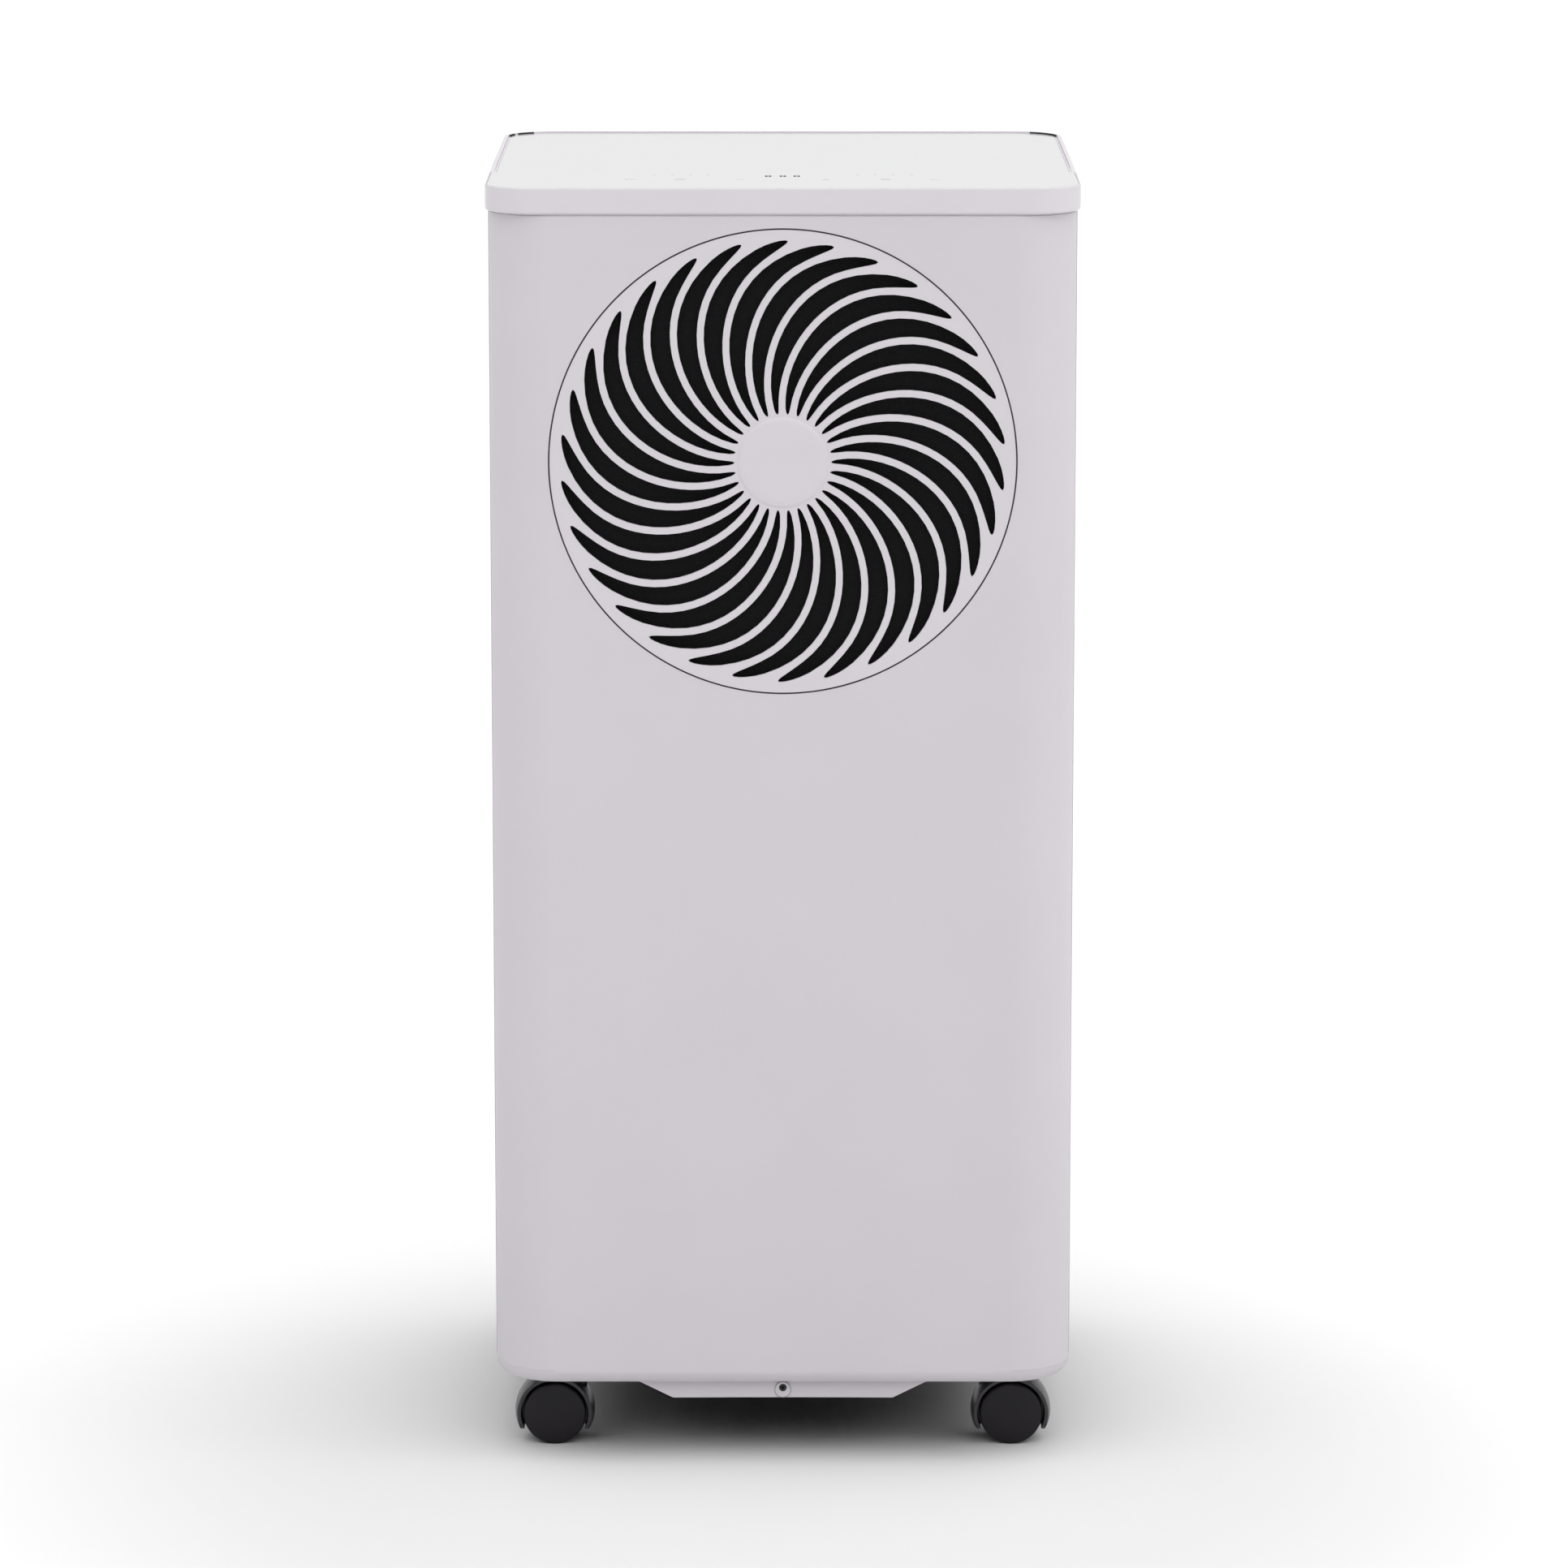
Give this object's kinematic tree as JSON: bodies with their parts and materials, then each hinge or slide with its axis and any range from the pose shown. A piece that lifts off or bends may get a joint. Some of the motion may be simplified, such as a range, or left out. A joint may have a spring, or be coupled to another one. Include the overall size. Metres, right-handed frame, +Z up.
{
  "type": "dehumidifier",
  "caption": "Tall free-standing cabinet dehumidifier on twin-wheel casters, with a round swirl grille, a touch panel on its lid, a rear intake filter and a pull-out water tank.",
  "frame": {"origin": "on the floor under the middle of the cabinet", "axes": "+Z up, -Y out of the front grille, +X to the right seen from the front"},
  "size_m": [0.3224, 0.3304, 0.711],
  "materials": {
    "cabinet_plastic": "fine matt texture",
    "trim_plastic": "satin",
    "panel_glass": "polished, printed white behind",
    "black_net": "matt black",
    "filter_net": "woven nylon",
    "fan_plastic": "moulded",
    "board": "green solder mask",
    "coil_fins": "thin sheet",
    "copper": "drawn copper tube",
    "black_steel": "satin black enamel",
    "black_rubber": "moulded",
    "zinc_steel": "zinc plated",
    "motor_steel": "bare sheet steel",
    "inner_plastic": "moulded",
    "sensor_plastic": "moulded",
    "tank_plastic": "translucent",
    "handle_plastic": "moulded",
    "float_plastic": "foam filled",
    "caster_plastic": "satin black nylon",
    "pin_steel": "drawn"
  },
  "bodies": {
    "cabinet": {"front_cover": "cabinet_plastic", "rear_cover": "cabinet_plastic", "base_pan": "cabinet_plastic", "lid_frame": "trim_plastic", "top_panel": "panel_glass", "display_board": "board", "front_grille": "trim_plastic", "grille_cap": "trim_plastic", "grille_net": "black_net", "side_grips": "cabinet_plastic", "case_screws": "zinc_steel", "drain_spigot": "inner_plastic", "cable_gland": "black_rubber", "fan_shroud": "fan_plastic", "motor_bracket": "zinc_steel", "fan_motor": "motor_steel", "evaporator_fins": "coil_fins", "evaporator_tubes": "copper", "condenser_fins": "coil_fins", "condenser_tubes": "copper", "compressor": "black_steel", "compressor_feet": "black_rubber", "suction_accumulator": "black_steel", "copper_lines": "copper", "chassis": "inner_plastic", "drip_tray": "inner_plastic", "control_box": "inner_plastic", "main_board": "board", "run_capacitor": "motor_steel", "humidity_sensor": "inner_plastic", "tank_sensor": "sensor_plastic"},
    "fan": {"motor_shaft": "zinc_steel", "fan_blades": "fan_plastic", "fan_nut": "zinc_steel"},
    "intake_door": {"intake_grille": "cabinet_plastic"},
    "air_filter": {"filter_frame": "black_net", "filter_mesh": "filter_net"},
    "drain_plug": {"drain_plug": "black_rubber"},
    "hose_plug": {"hose_plug": "black_rubber"},
    "tank": {"water_tank": "tank_plastic", "tank_front": "cabinet_plastic", "tank_lid": "tank_plastic"},
    "tank_handle": {"tank_handle": "handle_plastic"},
    "tank_float": {"tank_float": "float_plastic"},
    "caster_fl": {"caster_hood_fl": "caster_plastic", "caster_pins_fl": "pin_steel"},
    "wheel_front_fl": {"wheel_front_fl": "caster_plastic"},
    "wheel_back_fl": {"wheel_back_fl": "caster_plastic"},
    "caster_fr": {"caster_hood_fr": "caster_plastic", "caster_pins_fr": "pin_steel"},
    "wheel_front_fr": {"wheel_front_fr": "caster_plastic"},
    "wheel_back_fr": {"wheel_back_fr": "caster_plastic"},
    "caster_rl": {"caster_hood_rl": "caster_plastic", "caster_pins_rl": "pin_steel"},
    "wheel_front_rl": {"wheel_front_rl": "caster_plastic"},
    "wheel_back_rl": {"wheel_back_rl": "caster_plastic"},
    "caster_rr": {"caster_hood_rr": "caster_plastic", "caster_pins_rr": "pin_steel"},
    "wheel_front_rr": {"wheel_front_rr": "caster_plastic"},
    "wheel_back_rr": {"wheel_back_rr": "caster_plastic"}
  },
  "joints": [
    {"name": "fan_spin", "type": "hinge", "parent": "cabinet", "child": "fan", "pos_m": [0, -0.132, 0.5615], "axis": [0, -1, 0], "continuous": true},
    {"name": "intake_door_pull", "type": "slide", "parent": "cabinet", "child": "intake_door", "axis": [0, 1, 0], "range_m": [0, 0.06]},
    {"name": "filter_unclip", "type": "slide", "parent": "intake_door", "child": "air_filter", "axis": [0, -1, 0], "range_m": [0, 0.02]},
    {"name": "drain_plug_pull", "type": "slide", "parent": "cabinet", "child": "drain_plug", "axis": [0, -1, 0], "range_m": [0, 0.02]},
    {"name": "hose_plug_pull", "type": "slide", "parent": "cabinet", "child": "hose_plug", "axis": [0, 1, 0], "range_m": [0, 0.03]},
    {"name": "tank_slide", "type": "slide", "parent": "cabinet", "child": "tank", "axis": [0, 1, 0], "range_m": [0, 0.17]},
    {"name": "handle_lift", "type": "hinge", "parent": "tank", "child": "tank_handle", "pos_m": [0, 0.0895, 0.298], "axis": [-1, 0, 0], "range_deg": [0, 90]},
    {"name": "float_dip", "type": "hinge", "parent": "tank", "child": "tank_float", "pos_m": [-0.086, 0.036, 0.276], "axis": [-1, 0, 0], "range_deg": [0, 35]},
    {"name": "swivel_fl", "type": "hinge", "parent": "cabinet", "child": "caster_fl", "pos_m": [-0.119, -0.109, 0.05], "axis": [0, 0, 1], "continuous": true},
    {"name": "roll_front_fl", "type": "hinge", "parent": "caster_fl", "child": "wheel_front_fl", "pos_m": [-0.128, -0.109, 0.0175], "axis": [0, 1, 0], "continuous": true},
    {"name": "roll_back_fl", "type": "hinge", "parent": "caster_fl", "child": "wheel_back_fl", "pos_m": [-0.128, -0.109, 0.0175], "axis": [0, 1, 0], "continuous": true},
    {"name": "swivel_fr", "type": "hinge", "parent": "cabinet", "child": "caster_fr", "pos_m": [0.119, -0.109, 0.05], "axis": [0, 0, 1], "continuous": true},
    {"name": "roll_front_fr", "type": "hinge", "parent": "caster_fr", "child": "wheel_front_fr", "pos_m": [0.128, -0.109, 0.0175], "axis": [0, 1, 0], "continuous": true},
    {"name": "roll_back_fr", "type": "hinge", "parent": "caster_fr", "child": "wheel_back_fr", "pos_m": [0.128, -0.109, 0.0175], "axis": [0, 1, 0], "continuous": true},
    {"name": "swivel_rl", "type": "hinge", "parent": "cabinet", "child": "caster_rl", "pos_m": [-0.119, 0.109, 0.05], "axis": [0, 0, 1], "continuous": true},
    {"name": "roll_front_rl", "type": "hinge", "parent": "caster_rl", "child": "wheel_front_rl", "pos_m": [-0.128, 0.109, 0.0175], "axis": [0, 1, 0], "continuous": true},
    {"name": "roll_back_rl", "type": "hinge", "parent": "caster_rl", "child": "wheel_back_rl", "pos_m": [-0.128, 0.109, 0.0175], "axis": [0, 1, 0], "continuous": true},
    {"name": "swivel_rr", "type": "hinge", "parent": "cabinet", "child": "caster_rr", "pos_m": [0.119, 0.109, 0.05], "axis": [0, 0, 1], "continuous": true},
    {"name": "roll_front_rr", "type": "hinge", "parent": "caster_rr", "child": "wheel_front_rr", "pos_m": [0.128, 0.109, 0.0175], "axis": [0, 1, 0], "continuous": true},
    {"name": "roll_back_rr", "type": "hinge", "parent": "caster_rr", "child": "wheel_back_rr", "pos_m": [0.128, 0.109, 0.0175], "axis": [0, 1, 0], "continuous": true}
  ]
}
